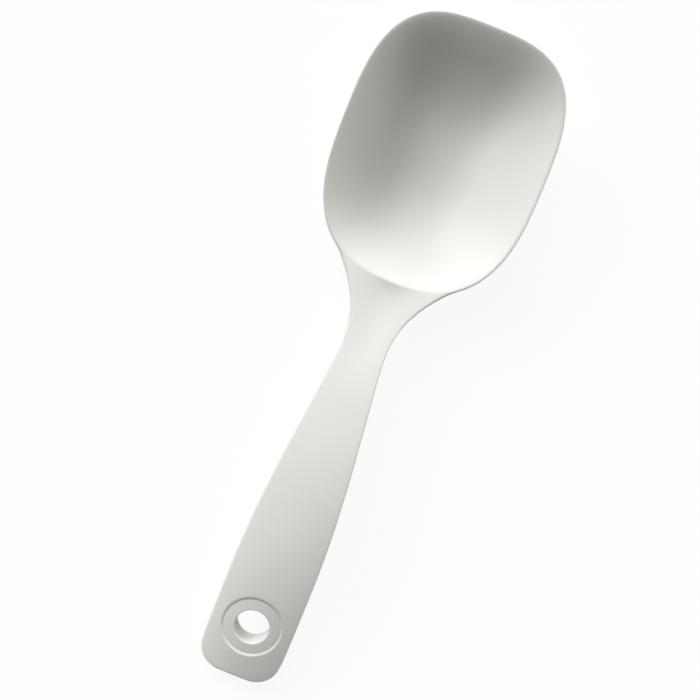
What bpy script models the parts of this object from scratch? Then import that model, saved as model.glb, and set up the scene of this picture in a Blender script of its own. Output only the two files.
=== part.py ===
"""Serving ladle: a rigid moulded core inside one soft overmoulded skin.

X runs along the ladle, from the handle end towards the tip of the bowl, and Z is up. The
ladle lies at rest on the plane z = 0, on the flat under its bowl and on the heel of its
handle. The origin is the middle of that flat. All sizes are in metres.
"""
import math

import bmesh
import bpy
from mathutils import Matrix, Vector

# Bowl
BOWL_LENGTH = 0.0984        # mouth, crease to tip
BOWL_WIDTH = 0.0777         # mouth, side to side
BOWL_DEPTH = 0.0220         # inside, below the rim at the middle
BOWL_TILT = math.radians(11.0)      # the rim climbs towards the tip
FRONT_SQUARENESS = 3.18     # exponent of the superellipse that the front half of the rim follows
REAR_SQUARENESS = 2.65      # the same for the rear half
FLOOR_FLATNESS = 2.7        # exponent of the dish, 2 for a parabola
FRONT_STEEPNESS = 0.35      # share of the wall that is already steep at the rim, at the tip
REAR_STEEPNESS = 0.80       # the same at the crease
FLOOR_WALL = 0.0044         # thickness under the middle of the bowl
RIM_HEIGHT = 0.0038         # height of the rim's outer edge
LIP_WIDTH = 0.0011          # rim seen from above
LIP_EASE = 0.0003           # softened inner edge of the rim
FOOT_SETBACK = 0.0075       # the flat lies this far behind the middle of the bowl

# Handle
HANDLE_LENGTH = 0.1581      # crease to the handle end
GRIP_WIDTH = 0.0319
GRIP_THICKNESS = 0.0100
GRIP_DOME = 0.0020          # how far the upper side is higher at its middle, at the handle end
GRIP_SIDE_ROUND = 0.0014    # how far in from each side the grip is rounded
SIDE_SQUARENESS = 4.0       # exponent of that rounding, 2 for an ellipse
GRIP_FROM_END = 0.0398      # from here to the end the grip keeps its full width
GRIP_SWELL = 1.22           # exponent of the widening from the neck to the grip
END_ROUND_LENGTH = 0.0137   # length over which the handle end closes in plan
END_SQUARENESS = 3.1        # exponent of the superellipse that it closes along
END_SIDE_ROUND = 0.0014     # rounding of the handle end seen from the side
END_REACH = 0.0200          # length over which the core is drawn in at either end
HEEL_SINK = 0.0006          # the end lies this much lower than a grip left unrounded
ARCH_GROWTH = 2.6           # exponent of the handle's arch, 2 for an even curve
NECK_FROM_CREASE = 0.0250   # narrowest place
NECK_WIDTH = 0.0168
NECK_THICKNESS = 0.0090
NECK_SLOPE = math.radians(9.0)      # upper side of the neck where it meets the crease
SHOULDER_LENGTH = 0.0353    # neck to the corner where the shoulders meet the rim
SHOULDER_WIDTH = 0.0571     # across those two corners
WING_START = 0.0168         # out from here the shoulders blend into the rim
VALLEY_DEPTH = 0.0016       # valley that runs from the crease into the neck
VALLEY_HALF_WIDTH = 0.0140
VALLEY_ROUND = 0.0030       # rounding along its bottom
VALLEY_SIDES = 1.3          # exponent of its sides, 1 for straight ones
VALLEY_START = 0.0045       # distance behind the crease over which it sinks in
VALLEY_FULL = 0.0120        # distances behind the crease between which it runs out
VALLEY_END = 0.0460
KEEL_HALF_WIDTH = 0.0090    # rib under the shoulders that carries the neck into the bowl
KEEL_RUNOUT = 0.0320        # length over which the rib runs out under the bowl
KEEL_BLEND = 4.0            # exponent of the blend between the rib and the bowl, higher is tighter

# Hanging hole
HOLE_FROM_END = 0.0221
HOLE_DIAMETER = 0.0130
HOLE_EDGE = 0.0009          # rounding of the mouth of the hole
RING_DIAMETER = 0.0232      # recess in the skin round the hole
RING_DEPTH = 0.0011

# Layers
SKIN_THICKNESS = 0.0008
SKIN_EDGE = 0.0042          # how far the lip of the bowl reaches past the core
CLEARANCE = 0.0003          # between the skin and the core
GRIP_KEY_DIAMETER = 0.0064  # holes in the core that the skin fills, to hold it
GRIP_KEY_PITCH = 0.0260
GRIP_KEYS = 3
BOWL_KEY_DIAMETER = 0.0050
BOWL_KEY_RING = 0.56        # place of the bowl's key holes, as a share of the way to the rim
BOWL_KEYS = 6

# Mesh density
FACE_COLUMNS = 13
SIDE_STEPS = 3
END_STEPS = 7
GRIP_STEPS = 10
SHOULDER_STEPS = 9
SIDE_STATIONS = 6
TIP_STEPS = 9
FIRST_TURN = math.radians(8.0)      # closest cross-section to either end, as a turn of its outline
RIM_STEPS = 48
BOWL_SHARES = (0.14, 0.28, 0.42, 0.56, 0.69, 0.81, 0.91, 1.0)
TURN_STEPS = 48
BORE_STEPS = 3
SHARP_ANGLE = math.radians(35.0)
THINNEST_SHARE = 0.25       # an inner shape keeps at least this share of the outline's width
ROUNDED_SHARE = 0.9         # at most this share of the half width is rounded

HALF_BOWL = BOWL_LENGTH / 2
CREASE_X = FOOT_SETBACK - HALF_BOWL
TIP_X = FOOT_SETBACK + HALF_BOWL
END_X = CREASE_X - HANDLE_LENGTH
NECK_X = CREASE_X - NECK_FROM_CREASE
SHOULDER_X = NECK_X + SHOULDER_LENGTH
GRIP_X = END_X + GRIP_FROM_END
HOLE_X = END_X + HOLE_FROM_END
TILT_SLOPE = math.tan(BOWL_TILT)
RIM_MIDDLE_Z = BOWL_DEPTH + FLOOR_WALL
WALL_LEAN = math.radians(28.0)      # typical slope of the walls
SLANT = 1 / math.cos(WALL_LEAN)     # vertical reach of a distance across them


def ease(value):
    """Rise from 0 to 1 with level ends."""
    value = min(max(value, 0.0), 1.0)
    return value * value * (3 - 2 * value)


def signed_power(value, exponent):
    """Power of a value's size, with the value's sign."""
    return math.copysign(abs(value) ** exponent, value)


def squareness(x):
    """Exponent of the rim's outline at a place along the ladle."""
    return FRONT_SQUARENESS if x > FOOT_SETBACK else REAR_SQUARENESS


def rim_z(x):
    """Height of the rim plane."""
    return RIM_MIDDLE_Z + (x - FOOT_SETBACK) * TILT_SLOPE


def mouth_share(x, y):
    """0 at the middle of the bowl, 1 at the edge of its mouth."""
    exponent = squareness(x)
    along = abs(x - FOOT_SETBACK) / (HALF_BOWL - LIP_WIDTH)
    across = abs(y) / (BOWL_WIDTH / 2 - LIP_WIDTH)
    return (along ** exponent + across ** exponent) ** (1 / exponent)


def wall_profile(share, x):
    """Depth of the dish at a share of the way to its rim, as a share of its full depth."""
    forward = ease((x - CREASE_X) / BOWL_LENGTH)
    steep = REAR_STEEPNESS + (FRONT_STEEPNESS - REAR_STEEPNESS) * forward
    dish = max(1 - share ** FLOOR_FLATNESS, 0.0)
    return steep * dish + (1 - steep) * dish * dish


def mouth_z(x, share):
    """Height of the inside of the bowl, its edge softened."""
    return rim_z(x) - LIP_EASE - (BOWL_DEPTH - LIP_EASE) * wall_profile(share, x)


def crease_at(y):
    """Where the back edge of the mouth lies at a distance from the middle plane."""
    across = min(abs(y) / (BOWL_WIDTH / 2 - LIP_WIDTH), 1.0)
    reach = (1 - across ** REAR_SQUARENESS) ** (1 / REAR_SQUARENESS)
    return FOOT_SETBACK - (HALF_BOWL - LIP_WIDTH) * reach


def arch_drop():
    """How far the arch brings the upper side down, to the grip's thickness at the end."""
    climb = HANDLE_LENGTH * math.tan(NECK_SLOPE)
    return rim_z(CREASE_X) + climb - GRIP_THICKNESS + HEEL_SINK


def arch_rise(back):
    """Height of the handle's upper side over the crease, at a distance behind it."""
    return math.tan(NECK_SLOPE) * back - arch_drop() * (back / HANDLE_LENGTH) ** ARCH_GROWTH


def arch_slope(x):
    """Slope of the handle's upper side, as it climbs towards the tip."""
    back = (CREASE_X - x) / HANDLE_LENGTH
    bend = ARCH_GROWTH * arch_drop() / HANDLE_LENGTH * back ** (ARCH_GROWTH - 1)
    return bend - math.tan(NECK_SLOPE)


def valley(back, y):
    """Depth of the valley at a distance behind the crease."""
    deep = 1 - math.exp(-max(back, 0.0) / VALLEY_START)
    deep *= 1 - ease((back - VALLEY_FULL) / (VALLEY_END - VALLEY_FULL))
    whole = math.hypot(VALLEY_HALF_WIDTH, VALLEY_ROUND) - VALLEY_ROUND
    share = min((math.hypot(y, VALLEY_ROUND) - VALLEY_ROUND) / whole, 1.0)
    return VALLEY_DEPTH * deep * (1 - share) ** VALLEY_SIDES


def half_width(x):
    """Outline of the ladle in plan."""
    if x < SHOULDER_X:
        if x < NECK_X:
            reach = min((NECK_X - x) / (NECK_X - GRIP_X), 1.0)
            swell = math.sin(math.pi / 2 * reach) ** GRIP_SWELL
            width = NECK_WIDTH + (GRIP_WIDTH - NECK_WIDTH) * swell
        else:
            flare = ((x - NECK_X) / SHOULDER_LENGTH) ** 2
            width = NECK_WIDTH + (SHOULDER_WIDTH - NECK_WIDTH) * flare
        into_end = max((END_X + END_ROUND_LENGTH - x) / END_ROUND_LENGTH, 0.0)
        close = max(1 - into_end ** END_SQUARENESS, 0.0) ** (1 / END_SQUARENESS)
        return width / 2 * close
    exponent = squareness(x)
    along = min(abs(x - FOOT_SETBACK) / HALF_BOWL, 1.0)
    return BOWL_WIDTH / 2 * (1 - along ** exponent) ** (1 / exponent)


def shoulder_share(x):
    """0 on the handle, 1 where the shoulders have become the rim."""
    return ease((x - NECK_X) / SHOULDER_LENGTH)


def dome(x, y):
    """How far the upper side falls away from its middle line, more towards the handle end."""
    return GRIP_DOME * max(CREASE_X - x, 0.0) / HANDLE_LENGTH * (2 * y / GRIP_WIDTH) ** 2


def top_z(x, y):
    """Upper side of the ladle before its bowl is hollowed."""
    edge = crease_at(y)
    level = rim_z(x)
    if x < edge:
        behind = rim_z(edge) + arch_rise(edge - x)
        wing = (abs(y) - WING_START) / (SHOULDER_WIDTH / 2 - WING_START)
        level += (behind - level) * (1 - ease(wing))
    return level - valley(CREASE_X - x, y) - dome(x, y)


def keel_depth(x, y):
    """Depth of the handle, and of the rib that carries it on under the bowl."""
    if x < NECK_X:
        reach = (NECK_X - x) / (NECK_X - GRIP_X)
        return NECK_THICKNESS + (GRIP_THICKNESS - NECK_THICKNESS) * ease(reach) - RIM_HEIGHT
    line = top_z(NECK_X, 0.0) - NECK_THICKNESS + (x - NECK_X) * arch_slope(NECK_X)
    depth = max(top_z(x, 0.0) - RIM_HEIGHT - line, 0.0)
    depth *= 1 - ease((x - CREASE_X) / KEEL_RUNOUT)
    return depth * math.exp(-ease((x - NECK_X) / NECK_FROM_CREASE) * (y / KEEL_HALF_WIDTH) ** 2)


def bottom_z(x, y):
    """Under side of the ladle, which the dome leaves flat."""
    bowl = (BOWL_DEPTH + FLOOR_WALL - RIM_HEIGHT) * wall_profile(mouth_share(x, y), x)
    blend = (bowl ** KEEL_BLEND + keel_depth(x, y) ** KEEL_BLEND) ** (1 / KEEL_BLEND)
    return top_z(x, y) + dome(x, y) - RIM_HEIGHT - blend


def stations():
    """Places along X of the cross-sections, closer together where the outline turns."""
    places = []
    turn = math.pi / 2 - FIRST_TURN
    for step in range(END_STEPS + 1):
        close = math.cos(FIRST_TURN + turn * step / END_STEPS) ** (2 / END_SQUARENESS)
        places.append(END_X + END_ROUND_LENGTH * (1 - close))
    grip = END_X + END_ROUND_LENGTH
    places += [grip + (NECK_X - grip) * step / GRIP_STEPS for step in range(1, GRIP_STEPS + 1)]
    places += [NECK_X + SHOULDER_LENGTH * step / SHOULDER_STEPS for step in range(1, SHOULDER_STEPS + 1)]
    side = FOOT_SETBACK - SHOULDER_X
    places += [SHOULDER_X + side * step / SIDE_STATIONS for step in range(1, SIDE_STATIONS + 1)]
    turn = math.pi / 2 - FIRST_TURN / 2
    for step in range(1, TIP_STEPS + 1):
        reach = math.sin(turn * step / TIP_STEPS) ** (2 / FRONT_SQUARENESS)
        places.append(FOOT_SETBACK + HALF_BOWL * reach)
    return places


def drawn_in(x, grip_inset, bowl_inset):
    """A place along X, moved in from the nearer end of the ladle."""
    near_end = 1 - ease((x - END_X) / END_REACH)
    near_tip = 1 - ease((TIP_X - x) / END_REACH)
    return x + grip_inset * near_end - bowl_inset * near_tip


def section(x, inset, grip_inset, bowl_inset, trim):
    """Points round one cross-section, drawn in from the surface and from the outline.

    The trim draws the sides in and leaves the flat between them as it is, so that the core
    and its pocket have matching faces. The under side is flat where it would reach below
    the table.
    """
    shoulder = shoulder_share(x)
    width = half_width(x) - grip_inset - (bowl_inset - grip_inset) * shoulder
    width = max(width, half_width(x) * THINNEST_SHARE)
    side = min(GRIP_SIDE_ROUND + (LIP_WIDTH - GRIP_SIDE_ROUND) * shoulder, ROUNDED_SHARE * width)
    into_end = min(max((END_X + END_SIDE_ROUND - x) / END_SIDE_ROUND, 0.0), 1.0)
    into_tip = min(max((x - TIP_X + LIP_WIDTH) / LIP_WIDTH, 0.0), 1.0)
    close = (1 - into_end ** SIDE_SQUARENESS) ** (1 / SIDE_SQUARENESS) * math.sqrt(1 - into_tip ** 2)

    row = []
    flat = width - side
    for step in range(1, SIDE_STEPS):
        angle = math.pi / 2 * (1 - step / SIDE_STEPS)
        out = math.sin(angle) ** (2 / SIDE_SQUARENESS)
        row.append((flat + (side - trim) * out, math.cos(angle) ** (2 / SIDE_SQUARENESS)))
    row += [(flat - 2 * flat * step / (FACE_COLUMNS - 1), 1.0) for step in range(FACE_COLUMNS)]
    row += [(-y, full) for y, full in reversed(row[:SIDE_STEPS - 1])]

    def place(y, full, side_sign):
        upper = top_z(x, y) - inset * SLANT
        lower = bottom_z(x, y) + inset * SLANT
        height = (upper + lower) / 2 + side_sign * full * close * (upper - lower) / 2
        return Vector((x, y, max(height, inset * SLANT)))

    points = [place(width - trim, 0.0, 1)]
    points += [place(y, full, 1) for y, full in row]
    points.append(place(trim - width, 0.0, 1))
    points += [place(y, full, -1) for y, full in reversed(row)]
    return points


def new_object(name, mesh, collection):
    item = bpy.data.objects.new(name, mesh)
    collection.objects.link(item)
    return item


def mesh_from(name, bm):
    """Mesh of a closed shape, its quads split alike wherever two shapes run side by side."""
    quads = [face for face in bm.faces if len(face.verts) == 4]
    bmesh.ops.triangulate(bm, faces=quads, quad_method="FIXED")
    bmesh.ops.recalc_face_normals(bm, faces=bm.faces)
    mesh = bpy.data.meshes.new(name)
    bm.to_mesh(mesh)
    bm.free()
    mesh.shade_smooth()
    mesh.set_sharp_from_angle(angle=SHARP_ANGLE)
    return mesh


def envelope(name, collection, inset=0.0, bowl_inset=0.0, trim=0.0):
    """Loft of the whole ladle with its bowl filled to the rim."""
    bm = bmesh.new()
    loops = []
    for x in stations():
        place = drawn_in(x, inset, bowl_inset + trim)
        points = section(place, inset, inset - trim, bowl_inset, trim)
        loops.append([bm.verts.new(point) for point in points])
    for before, after in zip(loops, loops[1:]):
        count = len(before)
        for k in range(count):
            n = (k + 1) % count
            bm.faces.new((before[k], before[n], after[n], after[k]))
    bm.faces.new(loops[0])
    bm.faces.new(loops[-1])
    return new_object(name, mesh_from(name, bm), collection)


def hollow(name, collection, inset=0.0):
    """Cutter for the inside of the bowl, let deeper into the wall by a distance."""
    bm = bmesh.new()
    rings = []
    for share in BOWL_SHARES:
        rings.append([])
        for step in range(RIM_STEPS):
            angle = 2 * math.pi * step / RIM_STEPS
            exponent = 2 / squareness(FOOT_SETBACK + math.cos(angle))
            along = (HALF_BOWL - LIP_WIDTH) * share * signed_power(math.cos(angle), exponent)
            y = (BOWL_WIDTH / 2 - LIP_WIDTH) * share * signed_power(math.sin(angle), exponent)
            x = FOOT_SETBACK + along
            z = mouth_z(x, share) - inset * SLANT
            rings[-1].append(bm.verts.new((x, y, z)))
    for lift in (3 * LIP_EASE, BOWL_DEPTH / 2):
        rings.append([])
        for vertex in rings[len(BOWL_SHARES) - 1]:
            out = Vector((vertex.co.x - FOOT_SETBACK, vertex.co.y, 0.0))
            place = vertex.co + out.normalized() * 2 * LIP_EASE
            place.z = rim_z(vertex.co.x) + lift
            rings[-1].append(bm.verts.new(place))
    for before, after in zip(rings, rings[1:]):
        for k in range(RIM_STEPS):
            n = (k + 1) % RIM_STEPS
            bm.faces.new((before[k], before[n], after[n], after[k]))
    floor = bm.verts.new((FOOT_SETBACK, 0.0, mouth_z(FOOT_SETBACK, 0.0) - inset * SLANT))
    for k in range(RIM_STEPS):
        bm.faces.new((floor, rings[0][(k + 1) % RIM_STEPS], rings[0][k]))
    bm.faces.new(rings[-1])
    return new_object(name, mesh_from(name, bm), collection)


def turned(name, collection, profile, frame):
    """A closed outline of (radius, height) points turned about the Z axis of a frame."""
    bm = bmesh.new()
    corners = [bm.verts.new((radius, 0.0, height)) for radius, height in profile]
    edges = [bm.edges.new((a, b)) for a, b in zip(corners, corners[1:] + corners[:1])]
    bmesh.ops.spin(bm, geom=corners + edges, axis=(0, 0, 1), cent=(0, 0, 0),
                   steps=TURN_STEPS, angle=2 * math.pi, use_merge=True)
    bmesh.ops.remove_doubles(bm, verts=bm.verts, dist=1e-6)
    item = new_object(name, mesh_from(name, bm), collection)
    item.matrix_world = frame
    return item


def rod(name, collection, radius, half_length, frame, sides=16):
    """Round cutter along the Z axis of a frame."""
    bm = bmesh.new()
    bmesh.ops.create_cone(bm, cap_ends=True, segments=sides, radius1=radius, radius2=radius,
                          depth=2 * half_length)
    item = new_object(name, mesh_from(name, bm), collection)
    item.matrix_world = frame
    return item


def combine(item, other, operation):
    step = item.modifiers.new(other.name, "BOOLEAN")
    step.object = other
    step.operation = operation
    step.solver = "EXACT"


def plain_material(name, colour, roughness):
    material = bpy.data.materials.new(name)
    material.use_nodes = True
    shader = material.node_tree.nodes["Principled BSDF"]
    shader.inputs["Base Color"].default_value = (*colour, 1.0)
    shader.inputs["Roughness"].default_value = roughness
    shader.inputs["Metallic"].default_value = 0.0
    return material


def hole_frame():
    """Middle of the hanging hole, with Z square to the grip there."""
    slope = math.atan(arch_slope(HOLE_X))
    middle = (top_z(HOLE_X, 0.0) + bottom_z(HOLE_X, 0.0)) / 2
    return Matrix.Translation((HOLE_X, 0.0, middle)) @ Matrix.Rotation(-slope, 4, "Y")


def key_frames():
    """Places of the key holes, each with its diameter."""
    places = []
    for number in range(GRIP_KEYS):
        x = HOLE_X + GRIP_KEY_PITCH * (number + 1)
        places.append((x, 0.0, GRIP_KEY_DIAMETER))
    for number in range(BOWL_KEYS):
        angle = 2 * math.pi * (number + 0.5) / BOWL_KEYS
        x = FOOT_SETBACK + HALF_BOWL * BOWL_KEY_RING * math.cos(angle)
        places.append((x, BOWL_WIDTH / 2 * BOWL_KEY_RING * math.sin(angle), BOWL_KEY_DIAMETER))
    return places


def add_keys(item, collection, margin):
    """Cut the key holes, or leave their plugs, out of a solid."""
    for number, (x, y, diameter) in enumerate(key_frames()):
        middle = (top_z(x, y) + bottom_z(x, y)) / 2
        frame = Matrix.Translation((x, y, middle))
        name = f"{item.name}_key_{number + 1}"
        cutter = rod(name, collection, diameter / 2 - margin, 2 * BOWL_DEPTH, frame)
        combine(item, cutter, "DIFFERENCE")


def eyelet(name, collection, frame):
    """Collar round the hanging hole, with flat faces that show in the skin's recess."""
    bore = HOLE_DIAMETER / 2
    outer = RING_DIAMETER / 2 - CLEARANCE
    half = GRIP_THICKNESS / 2 * math.cos(math.atan(arch_slope(HOLE_X))) - RING_DEPTH
    curve = []
    for step in range(BORE_STEPS + 1):
        angle = math.pi / 2 * step / BORE_STEPS
        height = half - HOLE_EDGE * (1 - math.sin(angle))
        curve.append((bore + HOLE_EDGE * (1 - math.cos(angle)), height))
    profile = curve + [(outer, half), (outer, -half)] + [(r, -z) for r, z in reversed(curve)]
    return turned(name, collection, profile, frame)


def build():
    for item in list(bpy.data.objects):
        bpy.data.objects.remove(item, do_unlink=True)
    parts = bpy.data.collections.new("serving_ladle")
    cutters = bpy.data.collections.new("cutters")
    for collection in (parts, cutters):
        bpy.context.scene.collection.children.link(collection)

    frame = hole_frame()
    inside = SKIN_THICKNESS + CLEARANCE
    ring = rod("ring_recess", cutters, RING_DIAMETER / 2, 2 * GRIP_THICKNESS, frame, TURN_STEPS)

    pocket = envelope("core_pocket", cutters, SKIN_THICKNESS, SKIN_EDGE)
    combine(pocket, hollow("pocket_bowl", cutters, SKIN_THICKNESS), "DIFFERENCE")
    add_keys(pocket, cutters, CLEARANCE)

    skin = envelope("skin", parts)
    combine(skin, hollow("skin_bowl", cutters), "DIFFERENCE")
    combine(skin, pocket, "DIFFERENCE")
    combine(skin, ring, "DIFFERENCE")
    skin.data.materials.append(plain_material("white_silicone", (0.80, 0.80, 0.78), 0.48))

    core = envelope("core", parts, inside, SKIN_EDGE, CLEARANCE)
    combine(core, hollow("core_bowl", cutters, inside), "DIFFERENCE")
    add_keys(core, cutters, 0.0)
    combine(core, rod("collar_seat", cutters, (HOLE_DIAMETER + RING_DIAMETER) / 4,
                      2 * GRIP_THICKNESS, frame, TURN_STEPS), "DIFFERENCE")
    combine(core, eyelet("eyelet", cutters, frame), "UNION")
    core.data.materials.append(plain_material("white_nylon", (0.72, 0.72, 0.70), 0.42))

    for item in cutters.objects:
        item.hide_render = True
        item.display_type = "WIRE"


build()
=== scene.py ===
import math

import bmesh
import bpy
from mathutils import Matrix, Vector


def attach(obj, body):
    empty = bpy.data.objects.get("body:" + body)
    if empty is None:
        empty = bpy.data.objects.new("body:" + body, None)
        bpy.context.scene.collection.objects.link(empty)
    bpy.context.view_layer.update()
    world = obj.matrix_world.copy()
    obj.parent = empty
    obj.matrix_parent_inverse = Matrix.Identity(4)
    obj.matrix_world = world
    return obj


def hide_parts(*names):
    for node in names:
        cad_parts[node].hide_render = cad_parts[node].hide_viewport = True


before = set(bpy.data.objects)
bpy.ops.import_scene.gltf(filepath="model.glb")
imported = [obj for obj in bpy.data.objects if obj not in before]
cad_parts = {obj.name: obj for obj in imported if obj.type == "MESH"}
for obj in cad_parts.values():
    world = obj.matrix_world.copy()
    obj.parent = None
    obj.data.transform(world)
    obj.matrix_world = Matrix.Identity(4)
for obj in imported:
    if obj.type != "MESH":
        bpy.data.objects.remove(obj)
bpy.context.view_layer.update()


# Core
# The rigid moulding of white glass-filled nylon: the plate of the bowl, the spine of the handle
# and the collar round the hanging hole. The skin is moulded over it, and only its collar shows.

# The bowl, in metres. The origin is the foot under it, and the handle runs towards -X. Both pieces
# follow the outside that these sizes give.
BOWL_LENGTH = 0.0984
BOWL_WIDTH = 0.0777
BOWL_DEPTH = 0.0220
BOWL_TILT = math.radians(11.0)
FRONT_SQUARENESS = 3.18
REAR_SQUARENESS = 2.65
FLOOR_FLATNESS = 2.7        # exponent of the dish, 2 for a parabola
FRONT_STEEPNESS = 0.35
REAR_STEEPNESS = 0.80
FLOOR_WALL = 0.0044         # skin and core together, under the middle of the bowl
RIM_HEIGHT = 0.0038         # of the lip's outer face
LIP_WIDTH = 0.0011
LIP_SQUARENESS = 10.0       # exponent of the lip's rounding, 2 for an ellipse
LIP_EASE = 0.0001           # the lip stands this much over the edge of the mouth
FOOT_SETBACK = 0.0075

# The handle, and the shoulders that join it to the rim
HANDLE_LENGTH = 0.1581
GRIP_WIDTH = 0.0319
GRIP_THICKNESS = 0.0100
GRIP_DOME = 0.0034          # at the end; it grows from nothing at the crease
GRIP_SIDE_ROUND = 0.0007
MOST_ROUNDED = 0.9          # share of a cross-section that its rounded side may take
SIDE_SQUARENESS = 8.0
GRIP_FROM_END = 0.0398
GRIP_SWELL = 1.22           # exponent of its widening behind the neck
END_ROUND_LENGTH = 0.0137
END_SQUARENESS = 3.1
END_SIDE_ROUND = 0.0010
HEEL_SINK = 0.0006          # the heel is flat where it would sink this far into the table
NECK_FROM_CREASE = 0.0250
NECK_WIDTH = 0.0168
NECK_THICKNESS = 0.0090
NECK_SLOPE = math.radians(9.0)
ARCH_GROWTH = 2.6           # exponent of the fall from the neck to the heel
SHOULDER_LENGTH = 0.0353
SHOULDER_WIDTH = 0.0571
VALLEY_DEPTH = 0.0016       # a valley runs from the crease into the neck
VALLEY_HALF_WIDTH = 0.0140
VALLEY_ROUND = 0.0030
VALLEY_SHARPNESS = 1.3
VALLEY_START = 0.0038       # distances behind the crease
VALLEY_FULL = 0.0120
VALLEY_END = 0.0460
KEEL_HALF_WIDTH = 0.0090
KEEL_RUNOUT = 0.0320
KEEL_BLEND = 4              # exponent that melts the rib into the bowl

HALF_BOWL = BOWL_LENGTH / 2
CREASE_X = FOOT_SETBACK - HALF_BOWL
END_X = CREASE_X - HANDLE_LENGTH
NECK_X = CREASE_X - NECK_FROM_CREASE
GRIP_X = END_X + GRIP_FROM_END
WALL_ANGLE = math.radians(28.0)
WALL_SLANT = 1 / math.cos(WALL_ANGLE)       # height of a slanting wall over its thickness


def ease(value):
    """Rise from 0 to 1 with level ends."""
    value = min(max(value, 0.0), 1.0)
    return value * value * (3 - 2 * value)


def rim_z(x):
    """Height of the rim's plane, which climbs towards the tip."""
    return BOWL_DEPTH + FLOOR_WALL + (x - FOOT_SETBACK) * math.tan(BOWL_TILT)


def outline_share(x, y, length, width):
    """0 at the middle of the bowl, 1 on an outline of the given half sizes."""
    power = FRONT_SQUARENESS if x > FOOT_SETBACK else REAR_SQUARENESS
    along, across = abs(x - FOOT_SETBACK) / length, abs(y) / width
    return (along ** power + across ** power) ** (1 / power)


def bowl_share(x, y):
    """0 at the middle of the bowl, 1 at the edge of its mouth."""
    return outline_share(x, y, HALF_BOWL - LIP_WIDTH, BOWL_WIDTH / 2 - LIP_WIDTH)


def wall_profile(share, x):
    """Depth of the dish, as a share of its full depth."""
    forward = ease((x - CREASE_X) / BOWL_LENGTH)
    steep = REAR_STEEPNESS + (FRONT_STEEPNESS - REAR_STEEPNESS) * forward
    dish = max(1 - share ** FLOOR_FLATNESS, 0.0)
    return steep * dish + (1 - steep) * dish * dish


def mouth_z(x, y):
    """Inside of the bowl."""
    depth = (BOWL_DEPTH - LIP_EASE) * wall_profile(bowl_share(x, y), x)
    return rim_z(x) - LIP_EASE - depth


def crease_at(y):
    """Back edge of the mouth."""
    across = min(abs(y) / (BOWL_WIDTH / 2 - LIP_WIDTH), 1.0)
    reach = (1 - across ** REAR_SQUARENESS) ** (1 / REAR_SQUARENESS)
    return FOOT_SETBACK - (HALF_BOWL - LIP_WIDTH) * reach


ARCH_DROP = rim_z(CREASE_X) + HANDLE_LENGTH * math.tan(NECK_SLOPE) - GRIP_THICKNESS + HEEL_SINK


def rise(back):
    """Climb of the upper side over the crease, at a distance behind it."""
    return math.tan(NECK_SLOPE) * back - ARCH_DROP * (back / HANDLE_LENGTH) ** ARCH_GROWTH


def valley(back, y):
    """Depth of the valley behind the crease."""
    deep = 1 - math.exp(-max(back, 0.0) / VALLEY_START)
    deep *= 1 - ease((back - VALLEY_FULL) / (VALLEY_END - VALLEY_FULL))
    out = math.hypot(y, VALLEY_ROUND) - VALLEY_ROUND
    share = min(out / (math.hypot(VALLEY_HALF_WIDTH, VALLEY_ROUND) - VALLEY_ROUND), 1.0)
    return VALLEY_DEPTH * deep * (1 - share) ** VALLEY_SHARPNESS


def arch_slope(x):
    """Slope of the handle's upper side."""
    reach = (CREASE_X - x) / HANDLE_LENGTH
    bend = ARCH_GROWTH * ARCH_DROP / HANDLE_LENGTH * reach ** (ARCH_GROWTH - 1)
    return bend - math.tan(NECK_SLOPE)


def half_width(x):
    """Outline of the handle and the shoulders, seen from above."""
    if x < NECK_X:
        reach = min((NECK_X - x) / (NECK_X - GRIP_X), 1.0)
        width = NECK_WIDTH + (GRIP_WIDTH - NECK_WIDTH) * math.sin(math.pi / 2 * reach) ** GRIP_SWELL
    else:
        flare = ((x - NECK_X) / SHOULDER_LENGTH) ** 2
        width = NECK_WIDTH + (SHOULDER_WIDTH - NECK_WIDTH) * flare
    into_end = min(max((END_X + END_ROUND_LENGTH - x) / END_ROUND_LENGTH, 0.0), 1.0)
    return width / 2 * (1 - into_end ** END_SQUARENESS) ** (1 / END_SQUARENESS)


def shoulder_share(x):
    """0 on the handle, 1 where the shoulders have become the rim."""
    return ease((x - NECK_X) / SHOULDER_LENGTH)


def dome(x, y):
    """How far the upper side falls away from its middle line."""
    return GRIP_DOME * max(CREASE_X - x, 0.0) / HANDLE_LENGTH * (2 * y / GRIP_WIDTH) ** 2


def top_z(x, y):
    """Upper side of the handle and the shoulders, which runs on into the rim's plane."""
    edge = crease_at(y)
    level = rim_z(x)
    if x < edge:
        wing = (abs(y) - NECK_WIDTH) / (SHOULDER_WIDTH / 2 - NECK_WIDTH)
        level += (rim_z(edge) + rise(edge - x) - level) * (1 - ease(wing))
    return level - valley(CREASE_X - x, y) - dome(x, y)


def keel_depth(x, y):
    """Depth of the handle, and of the rib that carries it on under the bowl."""
    if x < NECK_X:
        reach = (NECK_X - x) / (NECK_X - GRIP_X)
        return NECK_THICKNESS + (GRIP_THICKNESS - NECK_THICKNESS) * ease(reach) - RIM_HEIGHT
    line = top_z(NECK_X, 0.0) - NECK_THICKNESS + (x - NECK_X) * arch_slope(NECK_X)
    depth = max(top_z(x, 0.0) - RIM_HEIGHT - line, 0.0)
    depth *= 1 - ease((x - CREASE_X) / KEEL_RUNOUT)
    return depth * math.exp(-ease((x - NECK_X) / NECK_FROM_CREASE) * (y / KEEL_HALF_WIDTH) ** 2)


def bottom_z(x, y):
    """Under side of the whole ladle."""
    bowl = (BOWL_DEPTH + FLOOR_WALL - RIM_HEIGHT) * wall_profile(bowl_share(x, y), x)
    both = (bowl ** KEEL_BLEND + keel_depth(x, y) ** KEEL_BLEND) ** (1 / KEEL_BLEND)
    return top_z(x, y) + dome(x, y) - RIM_HEIGHT - both


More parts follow.
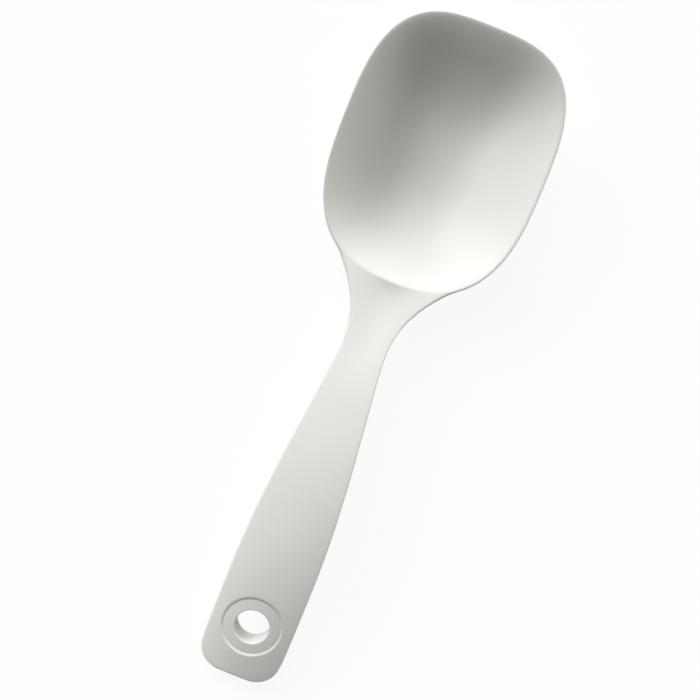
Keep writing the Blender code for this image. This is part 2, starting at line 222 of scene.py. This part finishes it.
def side_round(x, inset):
    """Half width of one cross-section of the handle, and how much of it is rounded."""
    width = half_width(x) - inset
    side = GRIP_SIDE_ROUND + (LIP_WIDTH - GRIP_SIDE_ROUND) * shoulder_share(x)
    return width, min(side, MOST_ROUNDED * width)


def handle_z(x, y, side, inset):
    """Upper side (1), middle (0) or under side (-1) of the handle, moved inwards by an inset."""
    width, rounded = side_round(x, inset)
    over = min(max((abs(y) - width + rounded) / rounded, 0.0), 1.0)
    into_end = min(max((END_X + inset + END_SIDE_ROUND - x) / END_SIDE_ROUND, 0.0), 1.0)
    upper = top_z(x, y) - inset * WALL_SLANT
    lower = bottom_z(x, y) + inset * WALL_SLANT
    full = (1 - over ** SIDE_SQUARENESS) * (1 - into_end ** SIDE_SQUARENESS)
    full = full ** (1 / SIDE_SQUARENESS)
    height = (upper + lower) / 2 + side * full * (upper - lower) / 2
    return max(height, inset * WALL_SLANT)


def column_y(x, number, inset):
    """Place of a column of points across the handle, the outer ones on its rounded side."""
    width, rounded = side_round(x, inset)
    if abs(number) > ROOT_POINTS - 1:
        return width - LAST_COLUMN * rounded
    return (width - NEXT_COLUMN * rounded) * abs(number) / (ROOT_POINTS - 1)


# How the points of both pieces are spread
RIM_POINTS = 80
ROOT_POINTS = 6             # points of the rim on each side of the middle that carry the handle
LAST_COLUMN = 0.08          # places of the outer columns on the rounded side, from the outside in
NEXT_COLUMN = 0.35
FLOOR_SHARE = 0.42          # the middle of the bowl is one even grid up to here
WALL_SHARES = (0.52, 0.62, 0.71, 0.80, 0.875, 0.935, 0.975, 1.0)
UNDER_SHARES = (0.985, 0.95, 0.88, 0.80, 0.71, 0.62, 0.52, FLOOR_SHARE)
LIP_TURNS = [math.radians(turn) for turn in (12, 35, 90, 145, 168)]
FLARE_STEPS = 6
STRAIGHT_X = -0.0570        # from here back the handle's cross-sections are straight
STRAIGHT_STEPS = 20
END_TURNS = [math.radians(turn) for turn in (76, 62, 49, 37, 26, 16)]
BOWL_MIDDLE = Vector((FOOT_SETBACK, 0.0, 0.0))


def picked(bm):
    return [point for point in bm.verts if point.select]


def pick(bm, points):
    bpy.ops.mesh.select_all(action="DESELECT")
    for point in points:
        point.select = True
    bm.select_flush(True)


def pull(bm, points, place):
    """Move each of some points to its own place, and leave them selected."""
    for point in points:
        pick(bm, [point])
        bpy.ops.transform.translate(value=place(point) - point.co)
    pick(bm, points)


def next_ring(bm, ratio, place):
    """Extrude the selected ring, scale it about the bowl's middle and pull it to its heights."""
    bpy.ops.mesh.extrude_edges_move()
    bpy.ops.transform.resize(value=ratio, center_override=BOWL_MIDDLE)
    ring = picked(bm)
    pull(bm, ring, place)
    return ring


def model_bowl(bm, inset, edge, lip_rise):
    """Bowl with its lip, from a ring on its floor out over the rim and back below.

    Gives back the three rings of the lip that the handle grows from.
    """
    mouth = (HALF_BOWL - LIP_WIDTH - edge, BOWL_WIDTH / 2 - LIP_WIDTH - edge)
    depth = inset * WALL_SLANT
    root_turn = 2 * math.pi / RIM_POINTS * (ROOT_POINTS + 0.5)

    def size(share):
        return share * mouth[0], share * mouth[1]

    def on_outline(point):
        out = point.co - BOWL_MIDDLE
        return BOWL_MIDDLE + out / outline_share(*point.co.xy, *size(FLOOR_SHARE))

    def inside(point):
        return Vector((*point.co.xy, mouth_z(*point.co.xy) - depth))

    def beneath(point):
        return Vector((*point.co.xy, max(bottom_z(*point.co.xy) + depth, depth)))

    def on_lip(turn):
        def place(point):
            x, y = point.co.xy
            # The rim of the skin has the handle's own cross-section where the handle grows from it
            if lip_rise and math.atan2(abs(y), FOOT_SETBACK - x) < root_turn:
                return Vector((x, y, handle_z(x, y, round(math.cos(turn)), inset)))
            upper = mouth_z(x, y) + lip_rise - depth
            lower = beneath(point).z
            full = math.copysign(abs(math.cos(turn)) ** (2 / LIP_SQUARENESS), math.cos(turn))
            return Vector((x, y, (upper + lower) / 2 + full * (upper - lower) / 2))
        return place

    first = picked(bm)
    pull(bm, first, on_outline)
    pull(bm, first, inside)
    steps = [(size(share), inside) for share in WALL_SHARES]
    for turn in LIP_TURNS:
        out = LIP_WIDTH * math.sin(turn) ** (2 / LIP_SQUARENESS)
        steps.append(((mouth[0] + out, mouth[1] + out), on_lip(turn)))
    steps += [(size(share), beneath) for share in UNDER_SHARES]
    before = size(FLOOR_SHARE)
    rings = []
    for after, place in steps:
        ratio = (after[0] / before[0], after[1] / before[1], 1.0)
        rings.append(next_ring(bm, ratio, place))
        before = after
    for ring, place in ((rings[-1], beneath), (first, inside)):
        pick(bm, ring)
        known = set(bm.verts)
        bpy.ops.mesh.fill_grid(span=RIM_POINTS // 4)
        pull(bm, [point for point in bm.verts if point not in known], place)
    lip = len(WALL_SHARES)
    return rings[lip + 1:lip + 4]


def model_handle(bm, lip, inset):
    """Extrude the back of the lip into the shoulders, the neck and the grip."""
    root_turn = 2 * math.pi / RIM_POINTS * ROOT_POINTS
    band = {point for ring in lip for point in ring}
    bpy.ops.mesh.select_all(action="DESELECT")
    for face in bm.faces:
        middle = face.calc_center_median()
        turn = math.atan2(abs(middle.y), FOOT_SETBACK - middle.x)
        if turn < root_turn and all(point in band for point in face.verts):
            face.select = True

    def columns():
        """Selected points, three to a column, from one side to the other and from the top down."""
        points = sorted(picked(bm), key=lambda point: point.co.y)
        for number in range(2 * ROOT_POINTS + 1):
            column = sorted(points[3 * number:3 * number + 3], key=lambda point: -point.co.z)
            for side, point in zip((1, 0, -1), column):
                yield number - ROOT_POINTS, side, point

    root = {(number, side): point.co.copy() for number, side, point in columns()}
    corner = root[ROOT_POINTS, 0]
    end = END_X + inset
    flare, grip = STRAIGHT_X - corner.x, end + END_ROUND_LENGTH - STRAIGHT_X
    stations = [corner.x + flare * step / FLARE_STEPS for step in range(1, FLARE_STEPS + 1)]
    stations += [STRAIGHT_X + grip * step / STRAIGHT_STEPS for step in range(1, STRAIGHT_STEPS + 1)]
    stations += [end + END_ROUND_LENGTH * (1 - math.cos(turn) ** (2 / END_SQUARENESS))
                 for turn in END_TURNS]
    for station in stations:
        straight = min((corner.x - station) / (corner.x - STRAIGHT_X), 1.0)
        bpy.ops.mesh.extrude_region_move()
        places = {}
        for number, side, point in columns():
            start = root[number, side]
            lag = (corner.x - start.x) * (1 - straight) ** 2
            width = side_round(station, inset)[0]
            outermost = side == 0 and abs(number) == ROOT_POINTS
            across = width if outermost else column_y(station, number, inset)
            across = (1 - straight) * abs(start.y) / corner.y * width + straight * across
            across = math.copysign(across, number) if number else 0.0
            x = station - lag
            places[point] = Vector((x, across, handle_z(x, across, side, inset)))
        pull(bm, list(places), places.get)
    inner = [point for number, side, point in columns() if side == 0 and abs(number) < ROOT_POINTS]
    pull(bm, inner, lambda point: Vector((end, point.co.y, point.co.z)))


def mould_blank(name, inset, edge, lip_rise, smoothness):
    """The ladle in one closed shape, moved inwards by an inset, its rim drawn in by an edge."""
    bpy.ops.object.select_all(action="DESELECT")
    bpy.ops.mesh.primitive_circle_add(vertices=RIM_POINTS, radius=HALF_BOWL, location=BOWL_MIDDLE)
    blank = bpy.context.object
    blank.name = name
    bpy.ops.object.transform_apply(location=True)
    bpy.ops.object.mode_set(mode="EDIT")
    bm = bmesh.from_edit_mesh(blank.data)
    lip = model_bowl(bm, inset, edge, lip_rise)
    model_handle(bm, lip, inset)
    bpy.ops.mesh.select_all(action="SELECT")
    bpy.ops.mesh.normals_make_consistent(inside=False)
    bpy.ops.object.mode_set(mode="OBJECT")
    finer = blank.modifiers.new("finer", "SUBSURF")
    finer.levels = finer.render_levels = smoothness
    bpy.ops.object.modifier_apply(modifier=finer.name)
    bpy.ops.object.shade_smooth()
    return blank


# The collar, a round piece on the axis of the hanging hole
HOLE_FROM_END = 0.0221
HOLE_X = END_X + HOLE_FROM_END
HOLE_RADIUS = 0.0066
HOLE_EDGE = 0.0004          # radius of the edge between the hole and the collar's face
RECESS_DEPTH = 0.00055      # the collar lies this far below the skin
COLLAR_RADIUS = 0.0118      # it reaches under the edge of the skin
HOLE_POINTS = 64
SHARP_ANGLE = math.radians(35.0)            # a steeper bend between faces is an edge
HOLE_TILT = math.atan(arch_slope(HOLE_X))
HOLE_MIDDLE = (top_z(HOLE_X, 0.0) + bottom_z(HOLE_X, 0.0)) / 2
HOLE_FRAME = Matrix.Translation((HOLE_X, 0.0, HOLE_MIDDLE)) @ Matrix.Rotation(-HOLE_TILT, 4, "Y")


def turn_piece(name, profile):
    """Rings round the hole's axis, each with a radius, a depth below the surface and its side."""
    bpy.ops.object.select_all(action="DESELECT")
    bpy.ops.mesh.primitive_circle_add(vertices=HOLE_POINTS, radius=profile[0][0],
                                      location=HOLE_FRAME.translation,
                                      rotation=(0.0, -HOLE_TILT, 0.0))
    piece = bpy.context.object
    piece.name = name
    bpy.ops.object.transform_apply(location=True, rotation=True)
    bpy.ops.object.mode_set(mode="EDIT")
    bm = bmesh.from_edit_mesh(piece.data)
    first = picked(bm)
    for radius, depth, side in profile:
        def place(point):
            local = HOLE_FRAME.inverted() @ point.co
            out = Vector((local.x, local.y, 0.0)).normalized() * radius
            out.z = side * GRIP_THICKNESS / 2
            x, y, _ = HOLE_FRAME @ out
            return Vector((x, y, handle_z(x, y, side, 0.0) - side * depth))

        pull(bm, picked(bm), place)
        last = picked(bm)
        bpy.ops.mesh.extrude_edges_move()
    bpy.ops.mesh.delete(type="VERT")
    return piece, bm, first, last


def both_sides(profile):
    """Rings from the upper side over to the under side, which is its mirror image."""
    return [(*ring, 1) for ring in profile] + [(*ring, -1) for ring in reversed(profile)]


def close_piece():
    """Turn the faces of the piece in edit mode outwards, and leave it smooth."""
    bpy.ops.mesh.select_all(action="SELECT")
    bpy.ops.mesh.normals_make_consistent(inside=False)
    bpy.ops.object.mode_set(mode="OBJECT")
    bpy.ops.object.shade_smooth()


def join_piece(piece, other, operation):
    """Cut another shape out of a piece, or melt it in, and use the other shape up."""
    step = piece.modifiers.new(other.name, "BOOLEAN")
    step.object = other
    step.operation = operation
    step.solver = "EXACT"
    bpy.context.view_layer.objects.active = piece
    bpy.ops.object.modifier_apply(modifier=step.name)
    bpy.data.objects.remove(other, do_unlink=True)


def smooth_by_angle(piece):
    bpy.ops.object.select_all(action="DESELECT")
    piece.select_set(True)
    bpy.context.view_layer.objects.active = piece
    bpy.ops.object.shade_smooth_by_angle(angle=SHARP_ANGLE)


HOLE_TURNS = [math.radians(turn) for turn in (0, 25, 50, 75, 90)]
FACE_RADII = (0.0075, 0.0088, 0.0102, 0.0114)
COLLAR_CORNER = 0.0003      # the collar's sides start this far below its face
COLLAR_SIDE = 0.0010
bore = [(HOLE_RADIUS, RECESS_DEPTH + HOLE_EDGE + COLLAR_CORNER)]
mouth = [(HOLE_RADIUS + HOLE_EDGE * (1 - math.cos(turn)),
          RECESS_DEPTH + HOLE_EDGE * (1 - math.sin(turn))) for turn in HOLE_TURNS]
face = [(radius, RECESS_DEPTH) for radius in FACE_RADII]
outside = [(COLLAR_RADIUS, RECESS_DEPTH + depth) for depth in (COLLAR_CORNER, COLLAR_SIDE)]
collar, bm, first, last = turn_piece("collar", both_sides(bore + mouth + face + outside))
pick(bm, first + last)
bpy.ops.mesh.bridge_edge_loops()
close_piece()
finer = collar.modifiers.new("finer", "SUBSURF")
finer.levels = finer.render_levels = 1
bpy.ops.object.modifier_apply(modifier=finer.name)

CORE_INSET = 0.0011         # skin over the core, with the gap between them
CORE_EDGE = 0.0042          # the plate of the bowl ends this far inside the lip
core = mould_blank("core_piece", CORE_INSET, CORE_EDGE, 0.0, 1)
bpy.ops.mesh.primitive_cylinder_add(vertices=HOLE_POINTS, radius=(HOLE_RADIUS + COLLAR_RADIUS) / 2,
                                    depth=3 * GRIP_THICKNESS, location=HOLE_FRAME.translation,
                                    rotation=(0.0, -HOLE_TILT, 0.0))
join_piece(core, bpy.context.object, "DIFFERENCE")
join_piece(core, collar, "UNION")
smooth_by_angle(core)


class Link:
    """What comes out of a node. A sum or product that it is part of adds the Math node."""

    def __init__(self, finish, socket):
        self.finish = finish
        self.socket = socket

    def reckon(self, operation, first, second):
        return self.finish.add("Math", {"operation": operation}, {0: first, 1: second})

    def __add__(self, other):
        return self.reckon("ADD", self, other)

    def __radd__(self, other):
        return self.reckon("ADD", other, self)

    def __mul__(self, other):
        return self.reckon("MULTIPLY", self, other)

    def __rmul__(self, other):
        return self.reckon("MULTIPLY", other, self)


class Finish:
    """A material, or the world. One method adds any node to it."""

    def __init__(self, owner):
        self.owner = owner
        owner.use_nodes = True
        self.tree = owner.node_tree

    def add(self, kind, settings, values, output=0):
        node = self.tree.nodes.new("ShaderNode" + kind)
        for name, setting in settings.items():
            if name == "stops":
                self.set_stops(node.color_ramp, setting)
            else:
                setattr(node, name, setting)
        self.feed(node, values)
        return Link(self, node.outputs[output])

    def set_stops(self, ramp, stops):
        while len(ramp.elements) < len(stops):
            ramp.elements.new(1.0)
        for element, (position, colour) in zip(ramp.elements, stops):
            element.position = position
            element.color = (*colour, 1.0)

    def feed(self, node, values):
        for name, value in values.items():
            if isinstance(value, Link):
                self.tree.links.new(value.socket, node.inputs[name])
            else:
                node.inputs[name].default_value = value

    def coat(self, piece, values):
        """Set the shader's sockets and put the material on its piece."""
        self.feed(self.tree.nodes["Principled BSDF"], values)
        piece.data.materials.clear()
        piece.data.materials.append(self.owner)

    def seen(self):
        """1 where the camera, a reflection or a view through looks, 0 where light is gathered."""
        camera, glossy, through = (self.add("LightPath", {}, {}, "Is " + ray + " Ray")
                                   for ray in ("Camera", "Glossy", "Transmission"))
        return camera + glossy + through


# Moulded nylon: the glass in it lies along the flow and shows as faint pale streaks, and the
# mould has been blasted, which leaves a fine even grain.
nylon = Finish(bpy.data.materials.new("core"))
place = nylon.add("TexCoord", {}, {}, "Object")
flow = nylon.add("Mapping", {}, {"Vector": place, "Scale": (0.2, 1.0, 1.0)})
streaks = nylon.add("TexNoise", {}, {"Vector": flow, "Scale": 900.0, "Detail": 2.0})
clouds = nylon.add("TexNoise", {}, {"Vector": place, "Scale": 70.0, "Detail": 2.0})
grain = nylon.add("TexNoise", {}, {"Vector": place, "Scale": 2400.0, "Detail": 1.0})
tone = 0.6 * clouds + 0.4 * streaks
nylon_tones = ((0.35, (0.775, 0.779, 0.732)), (0.65, (0.805, 0.809, 0.762)))
colour = nylon.add("ValToRGB", {"stops": nylon_tones}, {"Fac": tone})
relief = nylon.add("Bump", {}, {"Height": grain + 0.5 * streaks, "Distance": 0.00002,
                                "Strength": 0.4})
nylon.coat(core, {"Base Color": colour, "Roughness": 0.46 + 0.12 * clouds, "Normal": relief,
                  "IOR": 1.53})

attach(core, "root")
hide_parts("core")


# Skin
# White silicone, moulded over the core in one piece: the lining and the outside of the bowl, its
# lip, the neck and the grip. Round the hanging hole it stops at a rounded edge on the collar.

skin = mould_blank("skin_piece", 0.0, 0.0, LIP_EASE, 2)

# The recess, as radii with their depths below the skin, from outside and above inwards and down
RECESS_RADIUS = 0.0120      # the edge starts to turn down here
EDGE_PROFILE = ((0.0126, -0.0020), (0.0126, -0.00025), (0.0123, -0.00008), (RECESS_RADIUS, 0.00002),
                (0.01175, 0.00010), (0.0115, 0.00021), (0.0112, 0.00036), (0.01095, 0.00049),
                (0.0108, 0.00062), (0.01075, 0.0009))
recess, bm, first, last = turn_piece("recess", both_sides(EDGE_PROFILE))
for ring in (first, last):
    pick(bm, ring)
    bpy.ops.mesh.edge_face_add()
close_piece()
join_piece(skin, recess, "DIFFERENCE")
smooth_by_angle(skin)

# The mould leaves a crisp line where the recess starts
LINE_REACH = 0.00025        # points this near to the line are on it
LINE_HEIGHT = 0.003         # and they lie farther than this from the middle of the hole
bpy.ops.object.mode_set(mode="EDIT")
bm = bmesh.from_edit_mesh(skin.data)
bpy.ops.mesh.select_all(action="DESELECT")
for edge in bm.edges:
    ends = [HOLE_FRAME.inverted() @ point.co for point in edge.verts]
    edge.select = all(abs(end.xy.length - RECESS_RADIUS) < LINE_REACH and abs(end.z) > LINE_HEIGHT
                      for end in ends)
bpy.ops.mesh.mark_sharp()
bpy.ops.object.mode_set(mode="OBJECT")

# Silicone: soft clouds of tone, a satin skin that is a little glossier where it has been handled,
# and the fine grain of a blasted mould.
silicone = Finish(bpy.data.materials.new("skin"))
place = silicone.add("TexCoord", {}, {}, "Object")
clouds = silicone.add("TexNoise", {}, {"Vector": place, "Scale": 26.0, "Detail": 3.0})
smears = silicone.add("TexNoise", {}, {"Vector": place, "Scale": 85.0, "Detail": 4.0,
                                       "Distortion": 0.6})
grain = silicone.add("TexNoise", {}, {"Vector": place, "Scale": 1900.0, "Detail": 2.0})
tone = 0.75 * clouds + 0.25 * smears
silicone_tones = ((0.35, (0.785, 0.790, 0.742)), (0.65, (0.812, 0.817, 0.769)))
colour = silicone.add("ValToRGB", {"stops": silicone_tones}, {"Fac": tone})
relief = silicone.add("Bump", {}, {"Height": grain + 1.5 * clouds, "Distance": 0.00003,
                                   "Strength": 0.35})
silicone.coat(skin, {"Base Color": colour, "Roughness": 0.60 + 0.14 * smears, "Normal": relief,
                     "IOR": 1.42})

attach(skin, "root")
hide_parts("skin")


# Floor
# A white table that the ladle lies on. It looks nearly as bright as the white paper behind a
# product picture, and a little of its own shading is left, which keeps the ladle's shadow.

FLOOR_SIZE = 6.0
FLOOR_Z = -0.0001
PAPER_SHARE = 0.9           # of what is seen of the table, the rest is its own shading
PAPER_BRIGHTNESS = 1.02
MATT_WHITE = (0.8, 0.8, 0.8, 1.0)
FULL_WHITE = (1.0, 1.0, 1.0, 1.0)

bpy.ops.mesh.primitive_plane_add(size=FLOOR_SIZE, location=(0.0, 0.0, FLOOR_Z))
floor = bpy.context.object
floor.name = "floor"
paper = Finish(bpy.data.materials.new("floor"))
matt = paper.add("BsdfDiffuse", {}, {"Color": MATT_WHITE})
bright = paper.add("Emission", {}, {"Color": FULL_WHITE, "Strength": PAPER_BRIGHTNESS})
surface = paper.add("MixShader", {}, {0: PAPER_SHARE * paper.seen(), 1: matt, 2: bright})
paper.feed(paper.tree.nodes["Material Output"], {"Surface": surface})
floor.data.materials.append(paper.owner)


# Lamps
# Soft lamps far off beyond the tip of the bowl, on both sides of it, and a faint one overhead. The
# walls of the room look white but shed no light.

PLAIN = (1.0, 1.0, 1.0)
COOL = (0.958, 0.955, 1.0)
LAMP_SPREAD = math.radians(25.0)
# Each lamp's turn from the tip and height, in degrees, its strength and its colour
LAMPS = ((60, 33, 2.0, COOL), (300, 12, 1.25, PLAIN), (30, 55, 1.14, PLAIN), (30, 12, 1.33, PLAIN),
         (0, 88, 0.2, PLAIN))
for turn, height, strength, colour in LAMPS:
    lamp = bpy.data.objects.new("lamp", bpy.data.lights.new("lamp", "SUN"))
    bpy.context.scene.collection.objects.link(lamp)
    lamp.data.energy = strength
    lamp.data.color = colour
    lamp.data.angle = LAMP_SPREAD
    lamp.rotation_euler = (math.radians(90.0 - height), 0.0, math.radians(90.0 + turn))

studio = Finish(bpy.data.worlds.new("studio"))
bpy.context.scene.world = studio.owner
dark = studio.add("Background", {}, {"Strength": 0.0})
white = studio.add("Background", {}, {"Color": FULL_WHITE, "Strength": 1.0})
surface = studio.add("MixShader", {}, {0: studio.seen(), 1: dark, 2: white})
studio.feed(studio.tree.nodes["World Output"], {"Surface": surface})


# Camera
# Straight above the ladle, turned so that the bowl is at the upper right.

CAMERA_PLACE = (-0.0703, 0.0045, 0.65)
CAMERA_TURN = -1.18806      # in radians
CAMERA_LENS = 88.2
NEAREST = 0.01

camera = bpy.data.objects.new("camera", bpy.data.cameras.new("camera"))
bpy.context.scene.collection.objects.link(camera)
bpy.context.scene.camera = camera
camera.location = CAMERA_PLACE
camera.rotation_euler = (0.0, 0.0, CAMERA_TURN)
camera.data.lens = CAMERA_LENS
camera.data.clip_start = NEAREST
bpy.context.scene.view_settings.view_transform = "Standard"
